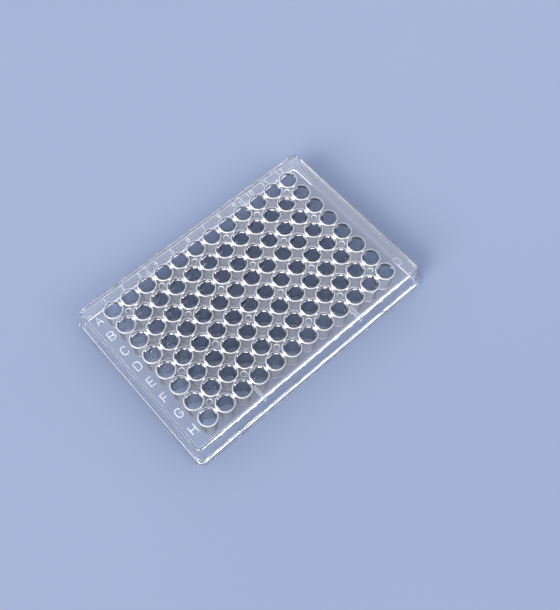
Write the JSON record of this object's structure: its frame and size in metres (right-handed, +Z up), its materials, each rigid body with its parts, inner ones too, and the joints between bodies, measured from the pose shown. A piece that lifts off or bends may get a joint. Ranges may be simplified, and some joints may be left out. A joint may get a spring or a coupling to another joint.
{
  "type": "well plate",
  "caption": "Clear one-piece laboratory well plate with a hollow foot, a raised rim and a grid of round flat-bottomed wells.",
  "frame": {"origin": "centre of the foot's underside, on the table", "axes": "+X along the rows from column 1 to column 12, +Y from row H to row A, +Z up through the wells"},
  "size_m": [0.1278, 0.0854, 0.0143],
  "materials": {
    "clear_polystyrene": "clear, glossy, injection moulded polystyrene"
  },
  "bodies": {
    "root": {"plate": "clear_polystyrene"}
  },
  "joints": []
}
